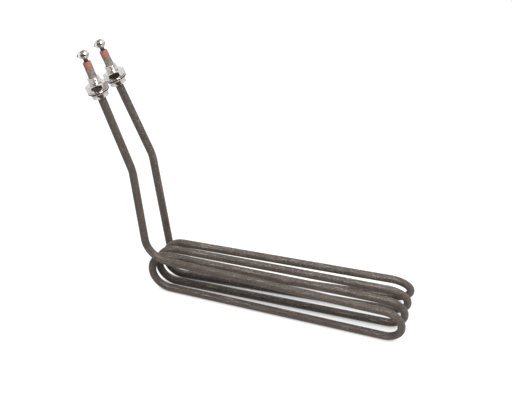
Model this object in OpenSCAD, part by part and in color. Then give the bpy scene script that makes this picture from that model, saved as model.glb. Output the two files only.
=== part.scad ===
// Tubular heating element of a deep fryer.
// One sheath tube is bent into a flat coil that stands on its lower passes.
// Both of its ends rise as legs, which carry a threaded bushing and a screw terminal each.
// Lengths are in millimetres. X runs along the passes, Y from front to rear and Z up.

/* [Sheath tube] */
// Outer diameter of the sheath
sheath_d = 8; // [6.5:0.1:9]
// Wall thickness of the sheath
sheath_wall = 0.8; // [0.5:0.1:1]
// Extra thickness of a bent stretch over a straight one
bend_swell = 0.04; // [0.02:0.01:0.1]

/* [Coil] */
// Number of turns
turns = 4; // [2:1:6]
// Length over the centre lines of the first turn's two end bends
coil_l = 268; // [180:1:400]
// Clear height between the lower and upper passes at the left end
left_clear_h = 33.5; // [26:0.5:45]
// Clear height between the lower and upper passes at the right end
right_clear_h = 29.5; // [22:0.5:40]
// Clear gap between neighbouring passes at the left end
left_gap = 4.5; // [2:0.5:10]
// Clear gap between neighbouring upper passes at the right end
right_gap_top = 10; // [2:0.5:20]
// Clear gap between neighbouring lower passes at the right end
right_gap_floor = 14; // [4:0.5:24]
// Clear gap between the first and second upper passes at the left end
front_gap = 0.5; // [0.3:0.1:3]
// How far the top of a left end bend stands in front of its foot
left_lean = 0.5; // [0:0.1:2]
// How far each left end bend stands back from the one before it
left_step = 2.5; // [0:0.5:5]
// How far each right end bend stands back from the one before it
right_step = 1.5; // [0:0.5:5]

/* [Legs] */
// Corner of the front leg over the first upper pass, from the left end
front_corner_x = 0; // [-5:0.5:5]
// Corner of the rear leg on the last lower pass, from the left end
rear_corner_x = 7.5; // [3:0.5:15]
// Bend radius at the foot of a leg
foot_r = 25; // [16:0.5:30]
// Lean of the lower stretch of the front leg, in degrees
front_lean_low = 6; // [0:0.5:10]
// Lean of the lower stretch of the rear leg, in degrees
rear_lean_low = 7.5; // [0:0.5:10]
// Lean of the upper stretch of the front leg, in degrees
front_lean_top = 19.5; // [12:0.5:30]
// Lean of the upper stretch of the rear leg, in degrees
rear_lean_top = 23; // [12:0.5:30]
// Height of the upper corner of the front leg over the floor
front_corner_z = 148; // [110:1:180]
// Height of the upper corner of the rear leg over the floor
rear_corner_z = 140; // [110:1:180]
// Bend radius at the upper corner of a leg
neck_r = 40; // [25:1:60]
// Length from the front leg's upper corner to its bushing
front_top_l = 82.5; // [60:1:120]
// Length from the rear leg's upper corner to its bushing
rear_top_l = 82.5; // [60:1:120]

/* [Bushings] */
// Diameter of the head that stops inside the tank wall
head_d = 16; // [14:0.5:20]
// Height of the head
head_h = 4.5; // [3:0.5:7]
// Outer diameter of the thread
thread_d = 12; // [11:0.5:13]
// Length of the thread from the head to its end
thread_l = 16.5; // [14:0.5:24]
// Depth of the thread, from its crests to its core
thread_depth = 0.85; // [0.5:0.05:1]
// Bevel at the edges of the head and of the thread
bushing_bevel = 0.6; // [0.2:0.1:0.8]

/* [Gaskets, washers and nuts] */
// Outer diameter of the gasket
gasket_d = 18; // [16:0.5:22]
// Thickness of the gasket
gasket_t = 1.5; // [1:0.1:3]
// Outer diameter of the washer
washer_d = 21.5; // [18:0.5:26]
// Thickness of the washer
washer_t = 1.5; // [1:0.1:2]
// Width of the nut across its flats
nut_af = 19; // [17:0.5:22]
// Height of the nut
nut_h = 7; // [5:0.5:8]

/* [Ends of the sheath] */
// Length of bare sheath above the bushing
bare_l = 9; // [5:0.5:20]
// Length of the end seal outside the sheath
seal_l = 7; // [4:0.5:12]
// Length of the seal's plug inside the sheath
seal_plug_l = 6; // [3:0.5:10]
// Diameter of the terminal pin
pin_d = 4; // [3:0.1:4.4]
// Length of the terminal pin inside the seal and the sheath
cold_l = 70; // [50:1:85]
// Diameter of the resistance wire
wire_d = 0.6; // [0.3:0.05:1]
// Radius of the seal's outer edge
seal_edge_r = 1; // [0.3:0.1:1.2]

/* [Screw terminals] */
// Height of the screw's axis over the seal
eye_h = 7; // [6:0.5:12]
// Thickness of the flattened eye
eye_t = 1.6; // [1:0.1:2]
// Width of the flattened eye
eye_w = 8; // [7:0.1:10]
// Width of the flattened neck under the eye
neck_w = 5.4; // [4.5:0.1:6]
// Diameter of the terminal screw
screw_d = 4; // [3:0.1:4.4]
// Depth of the terminal screw's thread
screw_thread_depth = 0.4; // [0.3:0.05:0.5]
// Length of the screw under its head
screw_l = 9.5; // [8:0.5:14]
// Diameter of the screw's head
screw_head_d = 8; // [6.5:0.1:9]
// Height of the screw's head
screw_head_h = 2.8; // [2:0.1:3.5]
// Turn of the slot about the screw, in degrees
slot_turn = 35; // [0:5:175]
// Width of the slot in the screw's head
slot_w = 1.2; // [0.8:0.1:1.6]
// Depth of the slot in the screw's head
slot_depth = 1.2; // [0.6:0.1:1.4]
// Outer diameter of the plain washer under the head
small_washer_d = 9; // [8:0.1:10]
// Thickness of the plain washer under the head
small_washer_t = 0.8; // [0.5:0.1:1.2]
// Outer diameter of the spring washer
spring_d = 7.6; // [6.6:0.1:8.4]
// Thickness of the spring washer
spring_t = 1; // [0.6:0.1:1.2]
// Width of the split in the spring washer
split_w = 0.8; // [0.4:0.1:1.5]
// Turn of the split about the screw, in degrees
split_turn = 250; // [0:5:355]
// Width of the small nut across its flats
small_nut_af = 7; // [6.5:0.1:8]
// Height of the small nut
small_nut_h = 3.2; // [2.4:0.1:3.6]

/* [Fits] */
// Clearance around a piece in its hole, on each side
fit_gap = 0.05; // [0.03:0.01:0.1]
// Clearance around a washer, a gasket or a screw, on each side
loose_gap = 0.15; // [0.1:0.05:0.3]

/* [Hidden] */
$fn = 48;

// Finishes as the photograph shows them
oxide = "#5b534d";
bare_steel = "#a3a09c";
bright_steel = "#cfccc8";
dark_steel = "#55504c";
red_seal = "#c2766b";
pale_fibre = "#e4dedb";
powder_white = "#efece6";
coil_grey = "#8b8580";

// Heights and distances of the coil's centre line, from the floor and the left end
sheath_r = sheath_d / 2;
bore_d = sheath_d - 2 * sheath_wall;
floor_z = sheath_r;
left_top_z = floor_z + sheath_d + left_clear_h;
right_top_z = floor_z + sheath_d + right_clear_h;
left_pitch = sheath_d + left_gap;
right_pitch_top = sheath_d + right_gap_top;
right_pitch_floor = sheath_d + right_gap_floor;
front_y = -left_lean - sheath_d - front_gap;
rear_y = (turns - 1) * left_pitch;

// The round pin ends this far over the seal, and its fade into the flat starts from a slice this thin
round_end_h = 0.3;
fade_skin = 0.1;
// The screw head's dome is this much flatter than one that falls to the head's edge
dome_ease = 0.4;
// The turned face of a nut is this share of its width across the flats, with a bevel this steep
nut_face = 0.94;
nut_bevel = 30;
// Step between the points of the seal's round edge, in degrees
seal_edge_step = 15;
// A cut runs this far past the faces that it opens
over = 1;

// A U-bend is two corner bends with this much straight tube between them
bend_flat = 2;
// A straight stretch runs this far into the bends at its ends
bend_bite = 0.4;

function unit(v) = v / norm(v);
function u_bend_r(a, b) = (norm(a - b) - bend_flat) / 2;

// Corner points of the first to the last turn, from the left
function top_left(k) = [(k - 1) * left_step, (k - 1) * left_pitch - left_lean, left_top_z];
function top_right(k) = [coil_l - k * right_step, front_y + k * right_pitch_top, right_top_z];
function low_right(k) = [coil_l - k * right_step, k * right_pitch_floor, floor_z];
function low_left(k) = [k * left_step, k * left_pitch, floor_z];

// Corner points of a leg in its own upright plane
function leg_top_corner(foot, lean, z) = foot + [-(z - foot[2]) * tan(lean), 0, z - foot[2]];
function leg_axis(lean) = [-sin(lean), 0, cos(lean)];

front_foot = [front_corner_x, front_y, left_top_z];
rear_foot = [rear_corner_x, rear_y, floor_z];
front_neck = leg_top_corner(front_foot, front_lean_low, front_corner_z);
rear_neck = leg_top_corner(rear_foot, rear_lean_low, rear_corner_z);
front_axis = leg_axis(front_lean_top);
rear_axis = leg_axis(rear_lean_top);

// Stations along the upper stretch of a leg, counted from the underside of the bushing's head
gasket_s = head_h;
washer_s = gasket_s + gasket_t;
nut_s = washer_s + washer_t;
nut_top_s = nut_s + nut_h;
thread_end_s = head_h + thread_l;
sheath_end_s = thread_end_s + bare_l;
seal_end_s = sheath_end_s + seal_l;
eye_s = seal_end_s + eye_h;
pin_start_s = seal_end_s - cold_l;
fill_end_s = sheath_end_s - seal_plug_l;

front_base = front_neck + front_axis * front_top_l;
rear_base = rear_neck + rear_axis * rear_top_l;

// The reference point is the middle of the front bushing's free thread
datum = front_base + front_axis * (nut_top_s + thread_end_s) / 2;

// Centre line between two stations of the upper stretches: corner points and their bend radii
function turn_points(k) = concat(
    k == 0 ? [] : [low_left(k - 1), top_left(k)],
    [top_right(k), low_right(k)]);
function turn_radii(k) = concat(
    k == 0 ? [] : [u_bend_r(low_left(k - 1), top_left(k)), u_bend_r(low_left(k - 1), top_left(k))],
    [u_bend_r(top_right(k), low_right(k)), u_bend_r(top_right(k), low_right(k))]);
function line_points(s) = concat(
    [front_base + front_axis * s, front_neck, front_foot],
    [for (k = [0:turns - 1]) each turn_points(k)],
    [rear_foot, rear_neck, rear_base + rear_axis * s]);
line_radii = concat(
    [0, neck_r, foot_r],
    [for (k = [0:turns - 1]) each turn_radii(k)],
    [foot_r, neck_r, 0]);

// Moves a piece from the coil's left end and the floor to the reference point
module placed() {
    translate(-datum)
        children();
}

// Straight stretch of round bar from a to b
module straight(a, b, d) {
    way = unit(b - a);
    translate(a)
        rotate([0, acos(way[2]), atan2(way[1], way[0])])
            cylinder(d = d, h = norm(b - a));
}

// Bend of radius r that rounds the corner at b, between the directions from a to b and b to c
module bend(a, b, c, r, d) {
    along = unit(b - a);
    leaving = unit(c - b);
    turn = acos(along * leaving);
    inward = unit(leaving - (leaving * along) * along);
    centre = b - along * r * tan(turn / 2) + inward * r;
    side = cross(-inward, along);
    multmatrix([
        [-inward[0], along[0], side[0], centre[0]],
        [-inward[1], along[1], side[1], centre[1]],
        [-inward[2], along[2], side[2], centre[2]],
        [0, 0, 0, 1]])
        rotate_extrude(angle = turn)
            translate([r, 0])
                circle(d = d + bend_swell);
}

// Round bar of diameter d along corner points p, each corner rounded to its radius in r
module bent_bar(p, r, d) {
    last = len(p) - 1;
    way = [for (i = [0:last - 1]) unit(p[i + 1] - p[i])];
    cut = [for (i = [0:last]) i == 0 || i == last ? 0 : r[i] * tan(acos(way[i - 1] * way[i]) / 2) - bend_bite];
    for (i = [0:last - 1])
        straight(p[i] + way[i] * cut[i], p[i + 1] - way[i] * cut[i + 1], d);
    for (i = [1:last - 1])
        bend(p[i - 1], p[i], p[i + 1], r[i], d);
}

// Stands children on the upper stretch of a leg, at station s, with Z along the leg and Y level
module on_front_leg(s) {
    placed()
        translate(front_base + front_axis * s)
            rotate([0, -front_lean_top, 0])
                children();
}
module on_rear_leg(s) {
    placed()
        translate(rear_base + rear_axis * s)
            rotate([0, -rear_lean_top, 0])
                children();
}

// Lays children across a leg at the middle of its eye, with Z towards the screw's head
module across_leg() {
    rotate([0, 90, 0])
        children();
}

module ring(d, hole, h) {
    difference() {
        cylinder(d = d, h = h);
        translate([0, 0, -over])
            cylinder(d = hole, h = h + 2 * over);
    }
}

// Hexagon nut, its corners turned down to a bevel at both faces
module hex_nut(af, h, hole) {
    sides = 6;
    corner_r = af / cos(180 / sides) / 2;
    face_r = nut_face * af / 2;
    drop = (corner_r - face_r) * tan(nut_bevel);
    difference() {
        intersection() {
            rotate([0, 0, 180 / sides])
                cylinder(r = corner_r, h = h, $fn = sides);
            rotate_extrude()
                polygon([
                    [0, 0], [face_r, 0], [corner_r, drop],
                    [corner_r, h - drop], [face_r, h], [0, h]]);
        }
        translate([0, 0, -over])
            cylinder(d = hole, h = h + 2 * over);
    }
}

// The sheath: a seamless tube, bent in one piece
module sheath() {
    color(oxide)
        placed()
            difference() {
                bent_bar(line_points(sheath_end_s), line_radii, sheath_d);
                bent_bar(line_points(sheath_end_s + over), line_radii, bore_d);
            }
}

// The compacted powder that holds the wire in the middle of the sheath
module magnesia_fill() {
    color(powder_white)
        placed()
            difference() {
                bent_bar(line_points(fill_end_s), line_radii, bore_d - 2 * fit_gap);
                bent_bar(line_points(fill_end_s + over), line_radii, pin_d + 2 * fit_gap);
            }
}

// The coiled resistance wire, drawn as the thin tube that its close turns make
module resistance_coil() {
    color(coil_grey)
        placed()
            difference() {
                bent_bar(line_points(pin_start_s), line_radii, pin_d);
                bent_bar(line_points(pin_start_s + over), line_radii, pin_d - 2 * wire_d);
            }
}

// Terminal pin: a round bar whose outer end is pressed flat and drilled for the screw
module terminal_pin() {
    // The flat starts just under the washer, so that the washer bears on it all round
    flat_start_h = eye_h - small_washer_d / 2 - loose_gap;
    color(dark_steel)
        difference() {
            union() {
                translate([0, 0, -cold_l])
                    cylinder(d = pin_d, h = cold_l + round_end_h);
                hull() {
                    translate([0, 0, round_end_h - fade_skin])
                        cylinder(d = pin_d, h = fade_skin);
                    translate([-eye_t / 2, -neck_w / 2, flat_start_h - fade_skin])
                        cube([eye_t, neck_w, fade_skin]);
                }
                translate([-eye_t / 2, -neck_w / 2, flat_start_h - fade_skin])
                    cube([eye_t, neck_w, eye_h - flat_start_h]);
                translate([-eye_t / 2, 0, eye_h])
                    rotate([0, 90, 0])
                        cylinder(d = eye_w, h = eye_t);
            }
            translate([-eye_w, 0, eye_h])
                rotate([0, 90, 0])
                    cylinder(d = screw_d + 2 * loose_gap, h = 2 * eye_w);
        }
}

// End seal: a moulded cap on the end of the sheath, with a plug in its bore
module end_seal() {
    cap_r = sheath_d / 2;
    plug_r = bore_d / 2 - fit_gap;
    hole_r = pin_d / 2 + fit_gap;
    soft_edge = [for (t = [0:seal_edge_step:90])
        [cap_r - seal_edge_r * (1 - cos(t)), seal_l - seal_edge_r * (1 - sin(t))]];
    color(red_seal)
        rotate_extrude()
            polygon(concat(
                [[hole_r, -seal_plug_l], [plug_r, -seal_plug_l], [plug_r, 0], [cap_r, 0]],
                soft_edge,
                [[hole_r, seal_l]]));
}

// Bushing: turned from bar, with a head and a thread, and pressed onto the sheath
module bushing() {
    crest_r = thread_d / 2;
    core_r = crest_r - thread_depth;
    head_r = head_d / 2;
    b = bushing_bevel;
    color(bright_steel)
        rotate_extrude()
            polygon([
                [sheath_d / 2 + fit_gap, 0], [head_r - b, 0], [head_r, b], [head_r, head_h - b / 2],
                [head_r - b / 2, head_h], [crest_r, head_h], [crest_r, nut_s], [core_r, nut_s],
                [core_r, nut_top_s], [crest_r, nut_top_s], [crest_r, thread_end_s - b],
                [crest_r - b, thread_end_s], [sheath_d / 2 + fit_gap, thread_end_s]]);
}

module gasket() {
    color(pale_fibre)
        ring(gasket_d, thread_d + 2 * loose_gap, gasket_t);
}

module washer() {
    color(bright_steel)
        ring(washer_d, thread_d + 2 * loose_gap, washer_t);
}

// Nut that pulls the head and the gasket against the tank wall
module lock_nut() {
    color(bright_steel)
        hex_nut(nut_af, nut_h, thread_d - 2 * thread_depth + 2 * fit_gap);
}

// Slotted screw through the eye; its core shows nowhere, since the small nut's thread fills it
module terminal_screw() {
    under_head = eye_t / 2 + small_washer_t + spring_t;
    tip = under_head - screw_l;
    core_d = screw_d - 2 * screw_thread_depth;
    dome_r = (pow(screw_head_d / 2, 2) + pow(screw_head_h, 2)) / (2 * screw_head_h) + dome_ease;
    color(bright_steel) {
        difference() {
            translate([0, 0, under_head])
                intersection() {
                    cylinder(d = screw_head_d, h = screw_head_h);
                    translate([0, 0, screw_head_h - dome_r])
                        sphere(r = dome_r);
                }
            rotate([0, 0, slot_turn])
                translate([-slot_w / 2, -screw_head_d, under_head + screw_head_h - slot_depth])
                    cube([slot_w, 2 * screw_head_d, 2 * slot_depth]);
        }
        translate([0, 0, -eye_t / 2])
            cylinder(d = screw_d, h = under_head + eye_t / 2);
        translate([0, 0, -eye_t / 2 - small_nut_h])
            cylinder(d = core_d, h = small_nut_h);
        translate([0, 0, tip])
            cylinder(d = screw_d, h = -eye_t / 2 - small_nut_h - tip);
    }
}

module plain_washer() {
    color(bright_steel)
        translate([0, 0, eye_t / 2])
            ring(small_washer_d, screw_d + 2 * loose_gap, small_washer_t);
}

// Spring washer: a ring of hard steel with one split
module spring_washer() {
    color(bare_steel)
        translate([0, 0, eye_t / 2 + small_washer_t])
            difference() {
                ring(spring_d, screw_d + 2 * fit_gap, spring_t);
                rotate([0, 0, split_turn])
                    translate([0, -split_w / 2, -over])
                        cube([spring_d, split_w, spring_t + 2 * over]);
            }
}

module terminal_nut() {
    color(bright_steel)
        translate([0, 0, -eye_t / 2 - small_nut_h])
            hex_nut(small_nut_af, small_nut_h, screw_d - 2 * screw_thread_depth + 2 * fit_gap);
}

module front_terminal_pin() {
    on_front_leg(seal_end_s)
        terminal_pin();
}
module rear_terminal_pin() {
    on_rear_leg(seal_end_s)
        terminal_pin();
}
module front_end_seal() {
    on_front_leg(sheath_end_s)
        end_seal();
}
module rear_end_seal() {
    on_rear_leg(sheath_end_s)
        end_seal();
}
module front_bushing() {
    on_front_leg(0)
        bushing();
}
module rear_bushing() {
    on_rear_leg(0)
        bushing();
}
module front_gasket() {
    on_front_leg(gasket_s)
        gasket();
}
module rear_gasket() {
    on_rear_leg(gasket_s)
        gasket();
}
module front_washer() {
    on_front_leg(washer_s)
        washer();
}
module rear_washer() {
    on_rear_leg(washer_s)
        washer();
}
module front_lock_nut() {
    on_front_leg(nut_s)
        lock_nut();
}
module rear_lock_nut() {
    on_rear_leg(nut_s)
        lock_nut();
}
module front_terminal_screw() {
    on_front_leg(eye_s) across_leg()
        terminal_screw();
}
module rear_terminal_screw() {
    on_rear_leg(eye_s) across_leg()
        terminal_screw();
}
module front_plain_washer() {
    on_front_leg(eye_s) across_leg()
        plain_washer();
}
module rear_plain_washer() {
    on_rear_leg(eye_s) across_leg()
        plain_washer();
}
module front_spring_washer() {
    on_front_leg(eye_s) across_leg()
        spring_washer();
}
module rear_spring_washer() {
    on_rear_leg(eye_s) across_leg()
        spring_washer();
}
module front_terminal_nut() {
    on_front_leg(eye_s) across_leg()
        terminal_nut();
}
module rear_terminal_nut() {
    on_rear_leg(eye_s) across_leg()
        terminal_nut();
}

sheath();
magnesia_fill();
resistance_coil();
front_terminal_pin();
rear_terminal_pin();
front_end_seal();
rear_end_seal();
front_bushing();
rear_bushing();
front_gasket();
rear_gasket();
front_washer();
rear_washer();
front_lock_nut();
rear_lock_nut();
front_terminal_screw();
rear_terminal_screw();
front_plain_washer();
rear_plain_washer();
front_spring_washer();
rear_spring_washer();
front_terminal_nut();
rear_terminal_nut();
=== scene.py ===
import bpy
import bmesh
import numpy as np
from mathutils import Matrix


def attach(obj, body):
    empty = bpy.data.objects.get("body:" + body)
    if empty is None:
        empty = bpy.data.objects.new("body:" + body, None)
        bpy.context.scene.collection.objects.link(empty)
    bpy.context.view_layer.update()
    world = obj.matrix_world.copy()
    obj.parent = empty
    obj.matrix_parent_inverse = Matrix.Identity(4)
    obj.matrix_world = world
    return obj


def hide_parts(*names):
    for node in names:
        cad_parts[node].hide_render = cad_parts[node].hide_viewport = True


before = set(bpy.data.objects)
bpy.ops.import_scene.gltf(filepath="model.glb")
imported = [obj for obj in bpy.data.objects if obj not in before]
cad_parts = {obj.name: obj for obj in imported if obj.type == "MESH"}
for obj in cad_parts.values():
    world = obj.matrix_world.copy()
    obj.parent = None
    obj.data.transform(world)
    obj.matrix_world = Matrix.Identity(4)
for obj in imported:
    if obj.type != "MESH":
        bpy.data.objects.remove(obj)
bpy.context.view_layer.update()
bpy.context.scene.view_settings.view_transform = "Standard"

# The sheath: one seamless stainless tube, 8 mm thick, filled and annealed, then bent cold over round
# formers. Years in hot oil have left a brown-black oxide on it. Above each bushing it never met the oil:
# there it was ground for the seal, and it stays light and satin.

# Sizes are in mm, and angles in degrees. A name that ends in _s is a station: how far up a leg's own axis,
# from the foot of its bushing. flattened is the share of its height that the tube loses in a bend.
sheath_r, bore_r = 4.0, 3.2
turns, coil_l = 4, 268.0
floor_z, left_top_z, right_top_z = 4.0, 45.5, 41.5
left_pitch, right_pitch_top, right_pitch_floor = 12.5, 18.0, 22.0
left_step, right_step, left_lean = 2.5, 1.5, 0.5
front_foot_x, front_y, rear_foot_x, rear_y = 0.0, -9.0, 7.5, 37.5
front_lean_low, front_corner_z, front_lean_top = 6.0, 148.0, 19.5
rear_lean_low, rear_corner_z, rear_lean_top = 7.5, 140.0, 23.0
neck_r, foot_r, bend_flat, top_l = 40.0, 25.0, 2.0, 82.5
origin_s = 17.75
sheath_end_s, ground_l = 30.0, 16.0
flattened = 0.04


def along(lean):
    """Unit vector up a leg that leans back from upright by this many degrees."""
    return np.array([-np.sin(np.radians(lean)), 0, np.cos(np.radians(lean))])


def neck(foot, lean, height):
    """The upper corner of a leg: where a line that leans back from its foot reaches the height."""
    return foot + along(lean) * (height - foot[2]) / np.cos(np.radians(lean))


front_foot = np.array([front_foot_x, front_y, left_top_z])
rear_foot = np.array([rear_foot_x, rear_y, floor_z])
front_neck = neck(front_foot, front_lean_low, front_corner_z)
rear_neck = neck(rear_foot, rear_lean_low, rear_corner_z)
legs = {
    "front": {"lean": front_lean_top, "base": front_neck + along(front_lean_top) * top_l},
    "rear": {"lean": rear_lean_top, "base": rear_neck + along(rear_lean_top) * top_l},
}
datum = legs["front"]["base"] + along(front_lean_top) * origin_s


def corners_of_the_coil():
    """Corner points of the centre line and the bend radius at each, from the front leg's end to the rear
    one's. Each turn runs right at the top and back on the floor, and a U-bend is two bends with a flat
    between."""
    front_end, rear_end = (leg["base"] + along(leg["lean"]) * sheath_end_s for leg in legs.values())
    corners, radii = [front_end, front_neck, front_foot], [0, neck_r, foot_r]
    for k in range(turns):
        left_x, left_y, right_x = (k - 1) * left_step, (k - 1) * left_pitch, coil_l - k * right_step
        low_left = np.array([left_x, left_y, floor_z])
        top_left = np.array([left_x, left_y - left_lean, left_top_z])
        top_right = np.array([right_x, front_y + k * right_pitch_top, right_top_z])
        low_right = np.array([right_x, k * right_pitch_floor, floor_z])
        if k:
            corners += [low_left, top_left]
            radii += [(np.linalg.norm(top_left - low_left) - bend_flat) / 2] * 2
        corners += [top_right, low_right]
        radii += [(np.linalg.norm(top_right - low_right) - bend_flat) / 2] * 2
    return corners + [rear_foot, rear_neck, rear_end], radii + [foot_r, neck_r, 0]


def centre_line(corners, radii, step=6, bend_step=4):
    """Straights with points a step in mm apart, joined at each corner by an arc that touches both, with a
    point every bend_step degrees. It returns the points, their unit tangents, and how bent the tube is
    there: half a sine wave over each bend, from 0 on a straight to 1 mid-bend."""
    points, tangents, bent = [], [], []
    start = corners[0]
    for i in range(1, len(corners)):
        way = (corners[i] - start) / np.linalg.norm(corners[i] - start)
        stop, turn = corners[i], 0.0
        if radii[i]:
            leaving = (corners[i + 1] - corners[i]) / np.linalg.norm(corners[i + 1] - corners[i])
            turn = np.arccos(way @ leaving)
            stop = corners[i] - way * radii[i] * np.tan(turn / 2)
        count = max(2, round(np.linalg.norm(stop - start) / step))
        share = np.linspace(0, 1, count, endpoint=not turn)[:, None]
        points.append(start + (stop - start) * share)
        tangents.append(way + 0 * share)
        bent.append(0 * share[:, 0])
        if turn:
            inward = leaving - (leaving @ way) * way
            inward /= np.linalg.norm(inward)
            angle = np.linspace(0, turn, round(np.degrees(turn) / bend_step), endpoint=False)[:, None]
            points.append(stop + radii[i] * (inward * (1 - np.cos(angle)) + way * np.sin(angle)))
            tangents.append(way * np.cos(angle) + inward * np.sin(angle))
            bent.append(np.sin(np.pi * angle[:, 0] / turn))
            start = corners[i] + leaving * radii[i] * np.tan(turn / 2)
    return np.concatenate(points), np.concatenate(tangents), np.concatenate(bent)


def circle(columns):
    """Equal angles once round, in radians, without the last, which is the first again."""
    return np.linspace(0, 2 * np.pi, columns, endpoint=False)


def bent_tube(line, outer_r, inner_r, columns):
    """A ring of points round each point of the line, in the plane across it: the outer wall forwards, then
    the inner wall back. In a bend the ring is pressed a little flat, as bending with no core does."""
    points, tangents, bent = line
    length = np.concatenate([[0], np.cumsum(np.linalg.norm(np.diff(points, axis=0), axis=1))])
    level = np.array([0, 1.0, 0]) - tangents * tangents[:, 1:2]
    level /= np.linalg.norm(level, axis=1)[:, None]
    upward = np.cross(tangents, level)
    press = (1 - flattened * bent)[:, None, None]
    angle = circle(columns)
    cos, sin = np.cos(angle)[None, :, None], np.sin(angle)[None, :, None]
    walls, flat = [], []
    for r, order in ((outer_r, slice(None)), (inner_r, slice(None, None, -1))):
        ring = r * (level[:, None] * cos + press * upward[:, None] * sin)
        walls.append((points[:, None] + ring)[order])
        unbent = [r * np.cos(angle) + 0 * length[:, None], r * np.sin(angle) + 0 * length[:, None],
                  length[:, None] + 0 * angle]
        flat.append(np.stack(unbent, -1)[order])
    return np.concatenate(walls), np.concatenate(flat), length[-1]


def skin(name, points, workpiece, material, shut=True, crease=35, weld=2e-6):
    """A closed mesh from a grid of points in mm: its last row joins the first, and where shut, so do its
    columns. A row or column that shrinks to a point is a pole, and points nearer than weld, in metres,
    merge. workpiece is each point's place in mm before the piece was bent or tilted, which the finishes
    read."""
    rows, columns = points.shape[:2]
    row = np.arange(rows)[:, None]
    column = np.arange(columns if shut else columns - 1)[None]
    below, beside = (row + 1) % rows, (column + 1) % columns
    quads = np.stack([row * columns + column, row * columns + beside,
                      below * columns + beside, below * columns + column], -1).reshape(-1, 4)
    mesh = bpy.data.meshes.new(name)
    mesh.from_pydata(((points.reshape(-1, 3) - datum) / 1000).tolist(), [], quads.tolist())
    place = mesh.attributes.new("workpiece", "FLOAT_VECTOR", "POINT")
    place.data.foreach_set("vector", np.ascontiguousarray(workpiece, np.float32).reshape(-1))
    shell = bmesh.new()
    shell.from_mesh(mesh)
    bmesh.ops.remove_doubles(shell, verts=shell.verts, dist=weld)
    bmesh.ops.recalc_face_normals(shell, faces=shell.faces)
    shell.to_mesh(mesh)
    shell.free()
    mesh.shade_smooth()
    mesh.set_sharp_from_angle(angle=np.radians(crease))
    mesh.materials.append(material)
    piece = bpy.data.objects.new(name, mesh)
    bpy.context.scene.collection.objects.link(piece)
    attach(piece, "root")
    return piece


def stations(piece):
    """How far up the workpiece, in mm, the middle of each four-sided face lies."""
    place = np.zeros(len(piece.data.vertices) * 3, np.float32)
    piece.data.attributes["workpiece"].data.foreach_get("vector", place)
    corner = np.zeros(len(piece.data.loops), np.int32)
    piece.data.loops.foreach_get("vertex_index", corner)
    return place.reshape(-1, 3)[:, 2][corner.reshape(-1, 4)].mean(1)


def linear(code):
    """An sRGB hex colour as the linear colour that the shaders take, by the sRGB standard's curve."""
    value = np.array([int(code[i:i + 2], 16) / 255 for i in (1, 3, 5)])
    value = np.where(value <= 0.04045, value / 12.92, ((value + 0.055) / 1.055) ** 2.4)
    return (*value.tolist(), 1.0)


def add(tree, kind, inputs={}, stops=(), **settings):
    """Adds a node with its settings. inputs are values, hex colours or other nodes' sockets, and stops are
    a colour ramp's places in rising order, each with a hex colour or a grey from 0 to 1."""
    node = tree.nodes.new(kind)
    for key, value in settings.items():
        setattr(node, key, value)
    for key, value in inputs.items():
        if isinstance(value, bpy.types.NodeSocket):
            tree.links.new(value, node.inputs[key])
        else:
            node.inputs[key].default_value = linear(value) if isinstance(value, str) else value
    for i, (place, colour) in enumerate(stops):
        element = node.color_ramp.elements[i] if i < 2 else node.color_ramp.elements.new(1.0)
        element.position = place
        element.color = linear(colour) if isinstance(colour, str) else (colour, colour, colour, 1)
    return node


def empty_finish(name):
    """A new material with nothing in its node tree."""
    material = bpy.data.materials.new(name)
    material.use_nodes = True
    material.node_tree.nodes.clear()
    return material, material.node_tree


# Oxide on drawn stainless: brown-grey and nearly matt, faintly clouded over some 20 mm and freckled by 1 by 2
# mm. Its upper sides carry a bright metal colour, more on the rear passes, in spots of 1 by 2 mm and in a few
# streaks 0.5 mm wide and 25 mm long. This is partly metal rubbed bare by baskets and partly painted highlight
# and glints along the tops of the passes. Real ones are finer: these are as coarse as they show.
clouds_per_m, freckles_per_mm, spots_per_mm = 50.0, (1.0, 1.0, 0.5), (1.1, 1.1, 0.5)
streaks_per_mm, streaks_from = (2.2, 2.2, 0.04), (3.0, 7.0, 0.0)
least_marked_y, most_marked_y, bare_metal_and_highlight = 0.015, 0.045, "#e4d9d0"  # the two places are in metres
oxidised_stainless, tree = empty_finish("oxidised_stainless")
place = add(tree, "ShaderNodeTexCoord").outputs["Object"]
drawn = add(tree, "ShaderNodeAttribute", attribute_name="workpiece").outputs["Vector"]
cloud = add(tree, "ShaderNodeTexNoise",
            {"Vector": place, "Scale": clouds_per_m, "Detail": 4.0, "Roughness": 0.6})
stretched = add(tree, "ShaderNodeMapping", {"Vector": drawn, "Scale": freckles_per_mm})
freckle = add(tree, "ShaderNodeTexNoise",
              {"Vector": stretched.outputs[0], "Scale": 1.0, "Detail": 3.0, "Roughness": 0.6})
body = add(tree, "ShaderNodeValToRGB", {"Fac": cloud.outputs["Fac"]}, [(0.3, "#564c45"), (0.7, "#685d54")])
mottle = add(tree, "ShaderNodeValToRGB", {"Fac": freckle.outputs["Fac"]},
             [(0.35, "#a8a39f"), (0.55, "#ffffff")])
oxide = add(tree, "ShaderNodeMix", {0: 0.8, 6: body.outputs["Color"], 7: mottle.outputs["Color"]},
            data_type="RGBA", blend_type="MULTIPLY")
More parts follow.
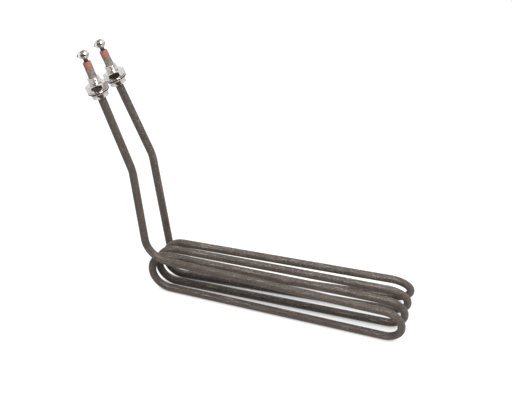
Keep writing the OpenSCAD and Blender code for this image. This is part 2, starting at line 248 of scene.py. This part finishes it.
# Painted highlight as well as wear: faces that look up take the bright metal colour in spots and streaks, and
# the rear passes take more of it.
facing = add(tree, "ShaderNodeSeparateXYZ", {0: add(tree, "ShaderNodeNewGeometry").outputs["Normal"]})
facing_up_wear_and_light = add(tree, "ShaderNodeMapRange",
            {"Value": facing.outputs["Z"], "From Min": -0.1, "To Min": 0.1, "To Max": 0.95})
across_coil = add(tree, "ShaderNodeSeparateXYZ", {0: place})
toward_rear = add(tree, "ShaderNodeMapRange", {"Value": across_coil.outputs["Y"], "From Min": least_marked_y,
                                          "From Max": most_marked_y, "To Min": 0.35, "To Max": 1.0})
rubbed_and_lit = add(tree, "ShaderNodeMath", {0: toward_rear.outputs[0], 1: facing_up_wear_and_light.outputs[0]}, operation="MULTIPLY")
lengthwise = add(tree, "ShaderNodeMapping", {"Vector": drawn, "Scale": spots_per_mm})
rub = add(tree, "ShaderNodeTexNoise",
          {"Vector": lengthwise.outputs["Vector"], "Scale": 1.0, "Detail": 3.0, "Roughness": 0.6})
spot = add(tree, "ShaderNodeValToRGB", {"Fac": rub.outputs["Fac"]}, [(0.61, 0.0), (0.68, 1.0)])
spots_worn_and_lit = add(tree, "ShaderNodeMath", {0: spot.outputs["Color"], 1: rubbed_and_lit.outputs[0]}, operation="MULTIPLY")
drag = add(tree, "ShaderNodeMapping",
           {"Vector": drawn, "Scale": streaks_per_mm, "Location": streaks_from})
line = add(tree, "ShaderNodeTexNoise", {"Vector": drag.outputs[0], "Scale": 1.0, "Detail": 1.0})
streak_wear_and_glint = add(tree, "ShaderNodeMapRange",
              {"Value": line.outputs["Fac"], "From Min": 0.68, "From Max": 0.7, "To Max": 0.9})
streaks_worn_and_lit = add(tree, "ShaderNodeMath", {0: streak_wear_and_glint.outputs[0], 1: facing_up_wear_and_light.outputs[0]}, operation="MULTIPLY")
bare_and_highlit = add(tree, "ShaderNodeMath", {0: spots_worn_and_lit.outputs[0], 1: streaks_worn_and_lit.outputs[0]}, operation="MAXIMUM")
# The bright spots and streaks are partly bare metal and partly painted highlight.
colour = add(tree, "ShaderNodeMix", {0: bare_and_highlit.outputs[0], 6: oxide.outputs[2], 7: bare_metal_and_highlight},
             data_type="RGBA")
gloss = add(tree, "ShaderNodeMapRange", {"Value": cloud.outputs["Fac"], "From Min": 0.3, "From Max": 0.7,
                                         "To Min": 0.44, "To Max": 0.6})
grain = add(tree, "ShaderNodeBump", {"Height": freckle.outputs["Fac"], "Strength": 0.35, "Distance": 0.0003})
shader = add(tree, "ShaderNodeBsdfPrincipled",
             {"Base Color": colour.outputs[2], "Metallic": 0.15, "Sheen Weight": 0.08,
              "Roughness": gloss.outputs["Result"], "Normal": grain.outputs[0]})
add(tree, "ShaderNodeOutputMaterial", {0: shader.outputs[0]})

# Ground stainless: satin and a little grey from handling, in smears of 2 mm. The belt left fine rings round
# it, 0.2 mm apart, drawn at 0.4 mm so that they show.
rings_per_mm, smears_per_mm = (0.15, 0.15, 2.5), 0.6
ground_stainless, tree = empty_finish("ground_stainless")
turned = add(tree, "ShaderNodeAttribute", attribute_name="workpiece").outputs["Vector"]
rings = add(tree, "ShaderNodeMapping", {"Vector": turned, "Scale": rings_per_mm})
belt = add(tree, "ShaderNodeTexNoise", {"Vector": rings.outputs[0], "Scale": 1.0, "Detail": 3.0})
smear = add(tree, "ShaderNodeTexNoise", {"Vector": turned, "Scale": smears_per_mm, "Detail": 3.0})
tone = add(tree, "ShaderNodeValToRGB", {"Fac": smear.outputs["Fac"]}, [(0.35, "#746c65"), (0.65, "#a49c95")])
gloss = add(tree, "ShaderNodeMapRange", {"Value": belt.outputs["Fac"], "From Min": 0.3, "From Max": 0.7,
                                         "To Min": 0.36, "To Max": 0.5})
grain = add(tree, "ShaderNodeBump", {"Height": belt.outputs["Fac"], "Strength": 0.3, "Distance": 0.0002})
shader = add(tree, "ShaderNodeBsdfPrincipled",
             {"Base Color": tone.outputs[0], "Metallic": 0.25, "Roughness": gloss.outputs["Result"],
              "Normal": grain.outputs[0]})
add(tree, "ShaderNodeOutputMaterial", {0: shader.outputs[0]})

walls, flat, sheath_l = bent_tube(centre_line(*corners_of_the_coil()), sheath_r, bore_r, 48)
sheath = skin("bent_sheath", walls, flat, oxidised_stainless)
sheath.data.materials.append(ground_stainless)
station = stations(sheath)
ground = (station < ground_l) | (station > sheath_l - ground_l)
sheath.data.polygons.foreach_set("material_index", ground.astype(np.int32))
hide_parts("sheath")

# The wire and the fill inside the sheath: a wound resistance wire, packed all round in pressed magnesia
# powder. Nothing shows of them. The wire is bright drawn nickel-chrome with a winding every millimetre, and
# the powder is chalky, with crumbs of 1 mm.
windings_per_m, crumbs_per_m = 1000.0, 900.0
wound_wire, tree = empty_finish("wound_nickel_chrome")
place = add(tree, "ShaderNodeTexCoord").outputs["Object"]
winding = add(tree, "ShaderNodeTexNoise", {"Vector": place, "Scale": windings_per_m, "Detail": 1.0})
tone = add(tree, "ShaderNodeValToRGB", {"Fac": winding.outputs["Fac"]}, [(0.4, "#6d6762"), (0.6, "#a39d97")])
shader = add(tree, "ShaderNodeBsdfPrincipled",
             {"Base Color": tone.outputs[0], "Metallic": 1.0, "Roughness": 0.35})
add(tree, "ShaderNodeOutputMaterial", {0: shader.outputs[0]})
pressed_magnesia, tree = empty_finish("pressed_magnesia")
place = add(tree, "ShaderNodeTexCoord").outputs["Object"]
crumb = add(tree, "ShaderNodeTexNoise", {"Vector": place, "Scale": crumbs_per_m, "Detail": 4.0})
tone = add(tree, "ShaderNodeValToRGB", {"Fac": crumb.outputs["Fac"]}, [(0.3, "#ddd9d2"), (0.7, "#f2f0ec")])
grain = add(tree, "ShaderNodeBump", {"Height": crumb.outputs["Fac"], "Strength": 0.4, "Distance": 0.0003})
shader = add(tree, "ShaderNodeBsdfPrincipled",
             {"Base Color": tone.outputs[0], "Roughness": 0.9, "Normal": grain.outputs[0]})
add(tree, "ShaderNodeOutputMaterial", {0: shader.outputs[0]})
for node, material in (("resistance_coil", wound_wire), ("magnesia_fill", pressed_magnesia)):
    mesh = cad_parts[node].data
    mesh.materials.clear()
    mesh.materials.append(material)

# The terminal pins: cold steel ends welded to the wire. Each comes out of its seal and is pressed flat, and
# the terminal's screw goes through it; the hole drilled for the screw is left out, as the screw fills it.
# Heat has tinted them a dull dark grey, uneven over 2 mm.
pin_r, pin_inside, eye_h, eye_r, eye_t, neck_w = 2.0, 70.0, 7.0, 4.0, 1.6, 5.4
bar_from, press_from, first_press, press_to = -6.0, 0.3, 0.5, 2.3
seal_end_s = 37.0
eye_s = seal_end_s + eye_h


def stood(points, leg, station=0.0):
    """Points in a leg's own frame, Z up the leg and Y to the rear, moved to their station on the leg."""
    lean = np.radians(legs[leg]["lean"])
    frame_rows = np.array([[np.cos(lean), 0, np.sin(lean)], [0, 1, 0], [-np.sin(lean), 0, np.cos(lean)]])
    return legs[leg]["base"] + (points + [0, 0, station]) @ frame_rows


def flattened_pin(columns, squareness=6):
    """Sections up the pin: each a rounded oblong |x/a|^n + |y/b|^n = 1, from a circle, where n is 2, to the
    flat eye, where squareness has raised it to 8. The half-width b follows the neck and then the eye's own
    circle, and the end rows shrink to a point."""
    neck_angle = np.arcsin(neck_w / 2 / eye_r)
    z = np.concatenate([[-pin_inside, -pin_inside], np.linspace(bar_from, press_from, 4),
                        np.linspace(first_press, press_to, 10),
                        eye_h - eye_r * np.cos(np.linspace(neck_angle, np.pi, 24))])
    press = np.clip((z - press_from) / (press_to - press_from), 0, 1)
    press = press * press * (3 - 2 * press)
    thick = pin_r + (eye_t / 2 - pin_r) * press
    neck_half = pin_r + (neck_w / 2 - pin_r) * press
    eye_half = np.sqrt(np.clip(eye_r ** 2 - (z - eye_h) ** 2, 0, None))
    eye_side = np.where(z > eye_h, eye_half, np.maximum(eye_half, neck_half))
    wide = np.where(z > press_to, eye_side, neck_half)
    power = 2 + squareness * press[:, None]
    ends = np.ones(len(z))
    ends[[0, -1]] = 0
    angle = circle(columns)
    c, s = np.cos(angle), np.sin(angle)
    reach = (np.abs(c)[None] ** power + np.abs(s)[None] ** power) ** (-1 / power)
    return np.stack([ends[:, None] * thick[:, None] * reach * c, ends[:, None] * wide[:, None] * reach * s,
                     z[:, None] + 0 * angle], -1)


tinted_steel, tree = empty_finish("heat_tinted_steel")
turned = add(tree, "ShaderNodeAttribute", attribute_name="workpiece").outputs["Vector"]
tint = add(tree, "ShaderNodeTexNoise", {"Vector": turned, "Scale": 0.6, "Detail": 4.0})
tone = add(tree, "ShaderNodeValToRGB", {"Fac": tint.outputs["Fac"]}, [(0.35, "#332e2b"), (0.65, "#4d4743")])
grain = add(tree, "ShaderNodeBump", {"Height": tint.outputs["Fac"], "Strength": 0.2, "Distance": 0.0003})
shader = add(tree, "ShaderNodeBsdfPrincipled",
             {"Base Color": tone.outputs[0], "Metallic": 0.8, "Roughness": 0.38, "Normal": grain.outputs[0]})
add(tree, "ShaderNodeOutputMaterial", {0: shader.outputs[0]})
for leg in legs:
    pin = flattened_pin(32)
    piece = skin(leg + "_pin", stood(pin, leg, seal_end_s), pin, tinted_steel)
    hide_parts(leg + "_terminal_pin")

# The end seals: salmon-red silicone, moulded with a plug that closes the sheath against damp and creepage.
# The cap is as wide as the sheath and has a thin shadow line where it seats. It is glossy, with a faint
# chalky bloom in patches of 2 mm.
seal_plug_l, seal_l, pin_hole_r = 6.0, 7.0, 2.05
plug_gap, groove_depth, groove_w, lip_r, cap_edge_r, mouth_r = 0.05, 0.35, 0.25, 0.25, 1.0, 0.3


def about_axis(r, angle, z):
    """Points at radius r and at each angle round the axis, at height z."""
    return np.stack([r * np.cos(angle), r * np.sin(angle), z + 0 * angle], -1)


def turned_ring(profile, columns):
    """A closed profile of radius and height, carried once round the axis."""
    profile = np.asarray(profile, float)
    return about_axis(profile[:, :1], circle(columns), profile[:, 1:])


def rounded(corner, r, first, last, steps):
    """Points of a quarter-round of radius r about a centre, from one angle to another in degrees."""
    angle = np.radians(np.linspace(first, last, steps))
    return [(corner[0] + r * np.cos(a), corner[1] + r * np.sin(a)) for a in angle]


silicone, tree = empty_finish("moulded_silicone")
turned = add(tree, "ShaderNodeAttribute", attribute_name="workpiece").outputs["Vector"]
bloom = add(tree, "ShaderNodeTexNoise", {"Vector": turned, "Scale": 0.55, "Detail": 4.0, "Roughness": 0.6})
tone = add(tree, "ShaderNodeValToRGB", {"Fac": bloom.outputs["Fac"]}, [(0.3, "#a35243"), (0.72, "#c48e7f")])
gloss = add(tree, "ShaderNodeMapRange", {"Value": bloom.outputs["Fac"], "To Min": 0.16, "To Max": 0.4})
grain = add(tree, "ShaderNodeBump", {"Height": bloom.outputs["Fac"], "Strength": 0.2, "Distance": 0.0003})
shader = add(tree, "ShaderNodeBsdfPrincipled",
             {"Base Color": tone.outputs[0], "Roughness": gloss.outputs["Result"], "IOR": 1.43,
              "Normal": grain.outputs[0]})
add(tree, "ShaderNodeOutputMaterial", {0: shader.outputs[0]})
plug_r, groove_r = bore_r - plug_gap, sheath_r - groove_depth
for leg in legs:
    profile = [(pin_hole_r, -seal_plug_l), (plug_r, -seal_plug_l), (plug_r, 0),
               (groove_r, 0), (groove_r, groove_w),
               *rounded((sheath_r - lip_r, groove_w + lip_r), lip_r, -90, 0, 4),
               *rounded((sheath_r - cap_edge_r, seal_l - cap_edge_r), cap_edge_r, 0, 90, 8),
               *rounded((pin_hole_r + mouth_r, seal_l - mouth_r), mouth_r, 90, 180, 4)]
    ring = turned_ring(profile, 48)
    piece = skin(leg + "_seal", stood(ring, leg, sheath_end_s), ring, silicone)
    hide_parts(leg + "_end_seal")

# The bushings: turned from bar with a round head and an M12 thread, nickel plated, and pressed onto the
# sheath. The head stops inside the tank, and its plating is drawn darker and duller than the thread's. The
# thread comes out through the tank's wall, and its plating is bright.
bushing_bore_r, bushing_bevel, head_edge_r = 4.05, 0.6, 0.3
head_r, head_h, thread_r, core_r, thread_pitch, thread_end_s = 8.0, 4.5, 6.0, 5.15, 1.5, 21.0


def nickel(name, bright, dull, smooth, rough, shade_below=None):
    """Nickel plate on turned steel: it mirrors the room, and its tones and gloss drift in smears of 2 to 3
    mm, where fingers and oil have been. The lathe's rings are 0.25 mm apart and hardly show. The last
    argument, where given, is the height in mm up to which the piece's foot is darkened: painted shade."""
    material, tree = empty_finish(name)
    turned = add(tree, "ShaderNodeAttribute", attribute_name="workpiece").outputs["Vector"]
    smear = add(tree, "ShaderNodeTexNoise", {"Vector": turned, "Scale": 0.4, "Detail": 4.0, "Roughness": 0.6})
    rings = add(tree, "ShaderNodeMapping", {"Vector": turned, "Scale": (0.3, 0.3, 4.0)})
    lathe = add(tree, "ShaderNodeTexNoise", {"Vector": rings.outputs[0], "Scale": 1.0, "Detail": 2.0})
    tone = add(tree, "ShaderNodeValToRGB", {"Fac": smear.outputs["Fac"]}, [(0.35, dull), (0.6, bright)])
    seen = tone.outputs[0]
    if shade_below is not None:
        height = add(tree, "ShaderNodeSeparateXYZ", {0: turned})
        foot = add(tree, "ShaderNodeMapRange", {"Value": height.outputs["Z"], "From Min": shade_below,
                                                "From Max": shade_below + 0.1, "To Min": 1.0, "To Max": 0.0})
        # Painted shade: up to that height the foot is mixed to a dark brown-grey, for the shadow line under a
        # washer's rim.
        mixed = add(tree, "ShaderNodeMix", {0: foot.outputs[0], 6: seen, 7: "#3d3530"}, data_type="RGBA")
        seen = mixed.outputs[2]
    gloss = add(tree, "ShaderNodeMapRange", {"Value": smear.outputs["Fac"], "From Min": 0.3, "From Max": 0.7,
                                             "To Min": rough, "To Max": smooth})
    grain = add(tree, "ShaderNodeBump",
                {"Height": lathe.outputs["Fac"], "Strength": 0.05, "Distance": 0.0002})
    shader = add(tree, "ShaderNodeBsdfPrincipled",
                 {"Base Color": seen, "Metallic": 1.0, "Roughness": gloss.outputs["Result"],
                  "Normal": grain.outputs[0]})
    add(tree, "ShaderNodeOutputMaterial", {0: shader.outputs[0]})
    return material


def screw_thread(z, angle, crest, core, pitch, flank=1.3, root=0.12):
    """Radius of a sharp thread: a triangle wave of height along the axis that climbs one pitch each turn.
    It is stretched by flank, lowered by root and cut off at 0 and 1, which leaves a narrow flat on each
    crest and in each root."""
    wave = np.abs(2 * ((z / pitch - angle / (2 * np.pi)) % 1) - 1)
    return core + (crest - core) * np.clip(flank * wave - root, 0, 1)


def threaded_bushing(columns, per_pitch=12):
    """Turned profile up the bore, over the head and along the thread, whose radius winds with angle and
    height. The thread is cut back to the bevel at its top and stops under the gasket."""
    foot = np.array([(bushing_bore_r, thread_end_s), (bushing_bore_r, 0), (head_r - bushing_bevel, 0),
                     (head_r, bushing_bevel),
                     *rounded((head_r - head_edge_r, head_h - head_edge_r), head_edge_r, 0, 90, 4)])
    sections = round((thread_end_s - head_h) / thread_pitch * per_pitch)
    z = np.linspace(head_h, thread_end_s, sections + 1)[:, None]
    angle = circle(columns)
    r = screw_thread(z, angle[None], thread_r, core_r, thread_pitch)
    r = np.minimum(r, thread_r - bushing_bevel + thread_end_s - z)
    r[0] = core_r
    return about_axis(np.concatenate([foot[:, :1] + 0 * angle, r]), angle, np.concatenate([foot[:, 1:], z]))


bright_nickel = nickel("bright_nickel_plate", "#e8e4e1", "#c0b9b5", 0.05, 0.12)
duller_nickel = nickel("duller_nickel_plate", "#ddd6cf", "#b0a79f", 0.14, 0.25)
for leg in legs:
    grid = threaded_bushing(72)
    piece = skin(leg + "_threaded_bushing", stood(grid, leg), grid, bright_nickel)
    piece.data.materials.append(duller_nickel)
    piece.data.polygons.foreach_set("material_index", (stations(piece) < head_h).astype(np.int32))
    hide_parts(leg + "_bushing")

# The gaskets: flat rings of pale, matt fibre sheet on the heads, their rims squeezed a little barrel-shaped.
# The washers over them are stamped steel, nickel plated, with the upper edge rolled by the punch. The lower
# part of their rims, up to the rolled edge, is painted dark brown-grey: painted shade for the shadow line
# between washer and gasket.
gasket_t, gasket_r, squeezed = 1.5, 9.0, 0.12
washer_t, washer_r, hole_r, stamped_edge_r, rolled_edge_r = 1.5, 10.75, 6.15, 0.15, 0.45
gasket_s, washer_s, rolled_from = head_h, head_h + gasket_t, washer_t - rolled_edge_r
sealing_sheet, tree = empty_finish("pale_sealing_sheet")
turned = add(tree, "ShaderNodeAttribute", attribute_name="workpiece").outputs["Vector"]
fibre = add(tree, "ShaderNodeTexNoise", {"Vector": turned, "Scale": 1.2, "Detail": 4.0})
tone = add(tree, "ShaderNodeValToRGB", {"Fac": fibre.outputs["Fac"]}, [(0.3, "#d3c8c3"), (0.7, "#efe9e5")])
grain = add(tree, "ShaderNodeBump", {"Height": fibre.outputs["Fac"], "Strength": 0.3, "Distance": 0.0003})
shader = add(tree, "ShaderNodeBsdfPrincipled",
             {"Base Color": tone.outputs[0], "Roughness": 0.75, "Normal": grain.outputs[0]})
add(tree, "ShaderNodeOutputMaterial", {0: shader.outputs[0]})
shade_rimmed_nickel = nickel("nickel_with_painted_shade_rim", "#e8e4e1", "#c0b9b5", 0.05, 0.12, shade_below=rolled_from)
for leg in legs:
    barrel = [(gasket_r - squeezed * (1 - np.sin(np.pi * t)), gasket_t * t) for t in np.linspace(0, 1, 7)]
    ring = turned_ring([(hole_r, gasket_t), (hole_r, 0), *barrel], 64)
    piece = skin(leg + "_sealing_ring", stood(ring, leg, gasket_s), ring, sealing_sheet)
    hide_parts(leg + "_gasket")
    profile = [(hole_r, washer_t), (hole_r, 0),
               *rounded((washer_r - stamped_edge_r, stamped_edge_r), stamped_edge_r, -90, 0, 3),
               *rounded((washer_r - rolled_edge_r, rolled_from), rolled_edge_r, 0, 90, 6)]
    ring = turned_ring(profile, 72)
    piece = skin(leg + "_large_washer", stood(ring, leg, washer_s), ring, shade_rimmed_nickel)
    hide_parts(leg + "_washer")

# The lock nuts: M12 hexagons, 19 mm across the flats, forged, turned to a bevel on both faces and nickel
# plated. They pull the head and the gasket against the tank's wall.
nut_across, nut_h, nut_bore_r = 19, 7, 5.2
nut_s = washer_s + washer_t


def hexagon_nut(wide, height, bore, columns, face_share=0.47, bevel=30, mouth=0.5, power=90):
    """Radius at each angle is the smaller of the hexagon's flat, a/cos(angle from the flat's middle), and
    the bevel's cone, which widens from the turned face at 30 degrees. A high power of both blends them,
    which rounds the edges: r = (flat^-power + cone^-power)^(-1/power). wide is the width across the flats,
    and the face's radius is face_share of it."""
    face, steep = face_share * wide, np.tan(np.radians(bevel))
    angle = circle(columns)
    turn = angle[:, None] - np.radians([0, 60, 120])
    flat = wide / 2 * (np.abs(np.cos(turn)) ** power).sum(1) ** (-1 / power)
    drop = (wide / 2 / np.cos(np.pi / 6) - face) * steep
    low = np.linspace(0, drop, 8)
    z = np.concatenate([[height, height - mouth, mouth, 0, 0], low, height - low[::-1], [height]])
    cone = face + np.minimum(z, height - z) / steep
    r = (flat[None] ** -power + cone[:, None] ** -power) ** (-1 / power)
    r[0], r[1], r[2], r[3] = bore + mouth, bore, bore, bore + mouth
    r[4], r[-1] = face, face
    return about_axis(r, angle, z[:, None])


for leg in legs:
    grid = hexagon_nut(nut_across, nut_h, nut_bore_r, 120)
    piece = skin(leg + "_hexagon_nut", stood(grid, leg, nut_s), grid, bright_nickel, crease=25)
    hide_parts(leg + "_lock_nut")

# The screw terminals: an M4 slotted screw through each pin's eye, with a plain and a spring washer under
# its head, for the supply wire's ring, and a small hexagon nut behind. Screws and nuts are nickel plated
# and bright. The spring washer is bare steel, and the plain washer has dulled to the same grey.
screw_r, screw_core_r, screw_pitch, under_head, screw_tip = 2.0, 1.6, 0.7, 2.6, -6.9
screw_head_r, screw_head_h, dome_ease, slot_turn, slot_w, slot_depth = 4.0, 2.8, 0.4, 35.0, 1.2, 1.2
small_hole_r, small_washer_r, small_washer_t, small_stamp_r, small_roll_r = 2.15, 4.5, 0.8, 0.1, 0.25
spring_hole_r, spring_r, spring_t, split_turn, split_w, spring_rise = 2.05, 3.8, 1.0, 250.0, 0.8, 0.08
small_nut_across, small_nut_h, small_bore_r = 7, 3.2, 1.65


def across(points, leg):
    """Points about the screw's axis, Z towards its head, laid across the leg at its eye."""
    laid = np.stack([points[..., 2], points[..., 1], -points[..., 0]], -1)
    return stood(laid, leg, eye_s)


def slotted_head(columns, wall=0.03):
    """Sections across the slot: at each distance x from the middle, a loop over the dome and back under the
    head. The half-width is that of a circle, the top is a sphere's height, and inside the slot it is the
    slot's floor. The slot's sides stand within wall of upright."""
    dome_r = (screw_head_r ** 2 + screw_head_h ** 2) / (2 * screw_head_h) + dome_ease
    half = slot_w / 2
    side = np.linspace(half + wall, screw_head_r, 14)
    x = np.concatenate([-side[::-1], np.linspace(-half, half, 5), side])
    over = np.linspace(-1, 1, columns)
    sweep = np.concatenate([np.sin(over * np.pi / 2), np.linspace(1, -1, 9)[1:-1]])
    top = np.arange(len(sweep)) < columns
    width = np.sqrt(np.clip(screw_head_r ** 2 - x ** 2, 0, None))
    y = width[:, None] * sweep[None]
    dome = screw_head_h - dome_r + np.sqrt(dome_r ** 2 - x[:, None] ** 2 - y ** 2)
    cut = np.abs(x)[:, None] < half + wall / 3
    dome = np.where(cut, np.minimum(dome, screw_head_h - slot_depth), dome)
    z = np.where(top[None], dome, 0) + under_head
    turn = np.radians(slot_turn)
    x = x[:, None]
    return np.stack([x * np.cos(turn) - y * np.sin(turn), x * np.sin(turn) + y * np.cos(turn), z], -1)


def threaded_shank(columns, first_row=0.02, thread_stop=-0.8):
    """The screw under its head: rows of thread from first_row above the tip up to the eye, then a plain
    shank. The tip is bevelled, and both ends close to a point."""
    z = np.concatenate([[screw_tip, screw_tip], np.linspace(screw_tip + first_row, thread_stop, 70),
                        [under_head, under_head]])[:, None]
    angle = circle(columns)
    r = screw_thread(z, angle[None], screw_r, screw_core_r, screw_pitch)
    r = np.minimum(r, screw_core_r + (z - screw_tip))
    r[0], r[-1], r[-2] = 0, 0, screw_r
    return about_axis(r, angle, z)


def split_ring(columns):
    """A square section carried round from one side of the split to the other, which rises by spring_rise
    either way. Its two end sections shrink to points, which closes them."""
    half = split_w / 2 / ((spring_hole_r + spring_r) / 2)
    turn = np.concatenate([[half], np.linspace(half, 2 * np.pi - half, columns), [2 * np.pi - half]])
    angle = np.radians(split_turn) + turn
    section = np.array([(spring_hole_r, spring_rise), (spring_r, spring_rise),
                        (spring_r, spring_t - spring_rise), (spring_hole_r, spring_t - spring_rise)])
    middle = section.mean(0)
    shrink = np.ones(len(angle))
    shrink[[0, -1]] = 0
    r = middle[0] + (section[:, :1] - middle[0]) * shrink
    z = middle[1] + (section[:, 1:] - middle[1]) * shrink + spring_rise * np.linspace(-1, 1, len(angle))
    return about_axis(r, angle, z)


# Bare spring steel: greyer and duller than the plate, with the same smears and rings.
spring_steel = nickel("spring_steel", "#a8a39c", "#7d7771", 0.22, 0.36)
for leg in legs:
    head, shank = slotted_head(25), threaded_shank(36)
    head_piece = skin(leg + "_screw_head", across(head, leg), head, bright_nickel)
    shank_piece = skin(leg + "_screw_shank", across(shank, leg), shank, bright_nickel)
    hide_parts(leg + "_terminal_screw")
    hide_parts(leg + "_terminal_screw")
    profile = [(small_hole_r, small_washer_t), (small_hole_r, 0),
               *rounded((small_washer_r - small_stamp_r, small_stamp_r), small_stamp_r, -90, 0, 3),
               *rounded((small_washer_r - small_roll_r, small_washer_t - small_roll_r),
                        small_roll_r, 0, 90, 4)]
    ring = turned_ring(profile, 48) + [0, 0, eye_t / 2]
    piece = skin(leg + "_small_washer", across(ring, leg), ring, spring_steel)
    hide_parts(leg + "_plain_washer")
    ring = split_ring(60) + [0, 0, eye_t / 2 + small_washer_t]
    piece = skin(leg + "_split_washer", across(ring, leg), ring, spring_steel, shut=False)
    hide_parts(leg + "_spring_washer")
    grid = hexagon_nut(small_nut_across, small_nut_h, small_bore_r, 96) - [0, 0, eye_t / 2 + small_nut_h]
    piece = skin(leg + "_small_nut", across(grid, leg), grid, bright_nickel, crease=25)
    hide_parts(leg + "_terminal_nut")

# The stage: a white table under the lower passes, in a white room, with one soft lamp high in front and
# on the right and a very weak fill on the left. Sizes are in metres from here on.

# White paper: to the camera it is a glow of its own and a fifth of the lamps' light, so that it shows white
# far off too. Where the heater closes it in, the glow is cut, to half between the passes and to nothing under
# the tube: painted shade, which makes the contact shadow and the grey strips seen through the coil.
table_z = -datum[2] / 1000
table_left, table_right, table_front, table_back = -2.4, 2.6, -1.08, 3.2
heater_shade = 0.06
mesh = bpy.data.meshes.new("table")
corners = [(table_left, table_front, table_z), (table_right, table_front, table_z),
           (table_right, table_back, table_z), (table_left, table_back, table_z)]
mesh.from_pydata(corners, [], [(0, 1, 2, 3)])
white_table, tree = empty_finish("white_table")
ray = add(tree, "ShaderNodeLightPath")
paper = add(tree, "ShaderNodeBsdfDiffuse", {"Color": "#7c7c7c"})
open_air = add(tree, "ShaderNodeAmbientOcclusion", {"Distance": heater_shade}, samples=12)
# Painted shade: the glow follows how closed in the table is, not the lamps' light.
open_glow = add(tree, "ShaderNodeValToRGB", {"Fac": open_air.outputs["AO"]},
                [(0.04, 0.0), (0.1, 0.48), (0.395, 0.555), (0.485, 1.0)])
glow = add(tree, "ShaderNodeEmission", {"Color": "#ffffff", "Strength": open_glow.outputs[0]})
seen = add(tree, "ShaderNodeAddShader", {0: paper.outputs[0], 1: glow.outputs[0]})
sheen = add(tree, "ShaderNodeBsdfDiffuse", {"Color": (0.85, 0.85, 0.85, 1)})
haze = add(tree, "ShaderNodeEmission", {"Color": "#ffffff", "Strength": 0.28})
mirrored = add(tree, "ShaderNodeAddShader", {0: sheen.outputs[0], 1: haze.outputs[0]})
plain = add(tree, "ShaderNodeBsdfDiffuse", {"Color": (0.2, 0.2, 0.2, 1)})
other = add(tree, "ShaderNodeMixShader",
            {0: ray.outputs["Is Glossy Ray"], 1: plain.outputs[0], 2: mirrored.outputs[0]})
table_shader = add(tree, "ShaderNodeMixShader",
                   {0: ray.outputs["Is Camera Ray"], 1: other.outputs[0], 2: seen.outputs[0]})
add(tree, "ShaderNodeOutputMaterial", {0: table_shader.outputs[0]})
mesh.materials.append(white_table)
table = bpy.data.objects.new("table", mesh)
bpy.context.scene.collection.objects.link(table)

# The room: white behind the heater, a plain soft light on it, and in its metal a white room that turns
# brown-black in front, as the camera's side of a studio does. The nuts' front facets mirror that.
dark_side = (0.35, -0.93, 0.1)
world = bpy.data.worlds.new("white_room")
bpy.context.scene.world = world
world.use_nodes = True
tree = world.node_tree
tree.nodes.clear()
ray = add(tree, "ShaderNodeLightPath")
soft = add(tree, "ShaderNodeBackground", {"Color": "#ffffff", "Strength": 0.16})
white = add(tree, "ShaderNodeBackground", {"Color": "#ffffff", "Strength": 1.0})
way = add(tree, "ShaderNodeTexCoord").outputs["Generated"]
towards = add(tree, "ShaderNodeVectorMath", {0: way, 1: dark_side}, operation="DOT_PRODUCT")
room = add(tree, "ShaderNodeValToRGB", {"Fac": towards.outputs["Value"]}, [(0.45, 1.0), (0.75, "#3a322c")])
mirrored = add(tree, "ShaderNodeBackground", {"Color": room.outputs[0], "Strength": 1.0})
other = add(tree, "ShaderNodeMixShader",
            {0: ray.outputs["Is Glossy Ray"], 1: soft.outputs[0], 2: mirrored.outputs[0]})
out = add(tree, "ShaderNodeMixShader",
          {0: ray.outputs["Is Camera Ray"], 1: other.outputs[0], 2: white.outputs[0]})
add(tree, "ShaderNodeOutputWorld", {0: out.outputs[0]})

# The lamps: two square soft boxes turned to the heater, each with its place, width and power in watts. The
# first gives each pass a light band along its middle and a dark underside, as in the photograph.
heater = (0.1, 0.0, -0.1)
for name, place, size, power in (("softbox", (0.65, -0.55, 1.0), 0.7, 20.0),
                                 ("fill", (-0.5, -0.9, 0.5), 0.8, 0.4)):
    lamp = bpy.data.lights.new(name, "AREA")
    lamp.shape, lamp.size, lamp.energy = "SQUARE", size, power
    holder = bpy.data.objects.new(name, lamp)
    bpy.context.scene.collection.objects.link(holder)
    holder.location = place
    aim = np.array(place) - np.array(heater)
    yaw, pitch = np.arctan2(aim[0], -aim[1]), np.arctan2(np.hypot(aim[0], aim[1]), aim[2])
    holder.rotation_euler = (pitch, 0, yaw)

# The camera: solved from the edges of the passes and legs in the photograph. The legs match it to half a
# pixel, and the coil's far end to 1 or 2. Its place is in metres, and its angles are in radians.
lens, sensor_w, clip_end = 77.34, 36.0, 20.0
camera_place = 0.45194, -0.82402, 0.48162
yaw, pitch, roll = -0.338, 0.592, 0.002
camera = bpy.data.cameras.new("camera")
camera.lens, camera.sensor_width, camera.clip_end = lens, sensor_w, clip_end
seen_from = bpy.data.objects.new("camera", camera)
bpy.context.scene.collection.objects.link(seen_from)
forward = np.array([np.sin(yaw) * np.cos(pitch), np.cos(yaw) * np.cos(pitch), -np.sin(pitch)])
right = np.array([np.cos(yaw), -np.sin(yaw), 0])
up = np.cross(right, forward)
right, up = right * np.cos(roll) + up * np.sin(roll), up * np.cos(roll) - right * np.sin(roll)
stand = np.eye(4)
stand[:3, 0], stand[:3, 1], stand[:3, 2], stand[:3, 3] = right, up, -forward, camera_place
seen_from.matrix_world = Matrix(stand.tolist())
bpy.context.scene.camera = seen_from
